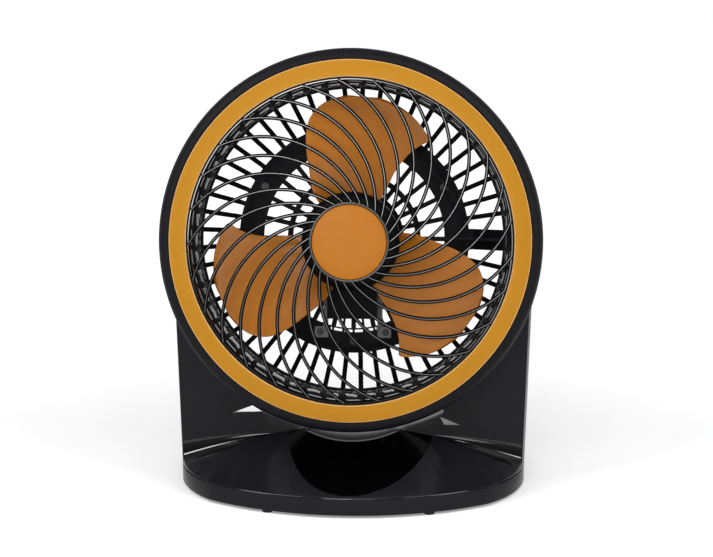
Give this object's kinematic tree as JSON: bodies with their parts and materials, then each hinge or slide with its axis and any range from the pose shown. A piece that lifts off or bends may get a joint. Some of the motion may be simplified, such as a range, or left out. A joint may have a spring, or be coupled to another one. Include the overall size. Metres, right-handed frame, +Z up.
{
  "type": "table fan",
  "caption": "Small table fan: round tilting head with spiral front grille, coloured trim ring and blades, on a broad stand with side wings and a curved foot.",
  "frame": {"origin": "middle of the bounding box's bottom face, on the table", "axes": "+Z up, front and air outlet towards -Y, +X to the right as seen from the front; the tilt pivots lie along X"},
  "size_m": [0.303, 0.196, 0.3602],
  "materials": {
    "stand_black": "satin",
    "panel_black": "gloss",
    "head_black": "satin",
    "amber_gold": "satin",
    "amber_blade": "satin",
    "rubber_black": "matt",
    "steel": "plain",
    "zinc_plate": "zinc plated",
    "copper_wire": "varnished",
    "bronze": "sintered",
    "nylon_white": "matt",
    "switch_grey": "matt"
  },
  "bodies": {
    "stand": {"stand_shell": "stand_black", "base_plate": "stand_black", "base_pads": "rubber_black", "base_screws": "steel", "front_panel": "panel_black", "switch_body": "switch_grey", "switch_nut": "steel", "cord_bush": "rubber_black", "terminal_block": "nylon_white"},
    "knob": {"switch_shaft": "steel", "speed_knob": "stand_black"},
    "head": {"pivot_bolts": "steel", "pivot_nuts": "steel", "pivot_washers": "rubber_black", "front_ring": "head_black", "trim_ring": "amber_gold", "front_grille": "head_black", "hub_cap": "amber_gold", "ring_screws": "steel", "rear_shell": "head_black", "rear_guard": "head_black", "motor_plate": "head_black", "guard_screws": "steel", "stator_core": "steel", "coil_bobbin": "head_black", "coil_winding": "copper_wire", "shading_rings": "copper_wire", "front_bracket": "zinc_plate", "rear_bracket": "zinc_plate", "motor_bushes": "bronze", "motor_screws": "steel", "motor_strap": "zinc_plate", "strap_screws": "steel", "motor_lead": "rubber_black"},
    "impeller": {"rotor": "steel", "shaft": "steel", "impeller_hub": "head_black", "impeller_blades": "amber_blade", "shaft_nut": "steel"}
  },
  "joints": [
    {"name": "head_tilt", "type": "hinge", "parent": "stand", "child": "head", "pos_m": [0, -0.012, 0.2057], "axis": [-1, 0, 0], "range_deg": [-10, 50]},
    {"name": "impeller_spin", "type": "hinge", "parent": "head", "child": "impeller", "pos_m": [0, -0.012, 0.2057], "axis": [0, -0.9903, 0.1392], "continuous": true},
    {"name": "speed_turn", "type": "hinge", "parent": "stand", "child": "knob", "pos_m": [0.06, 0.084, 0.018], "axis": [0, -1, 0], "range_deg": [0, 90]}
  ]
}
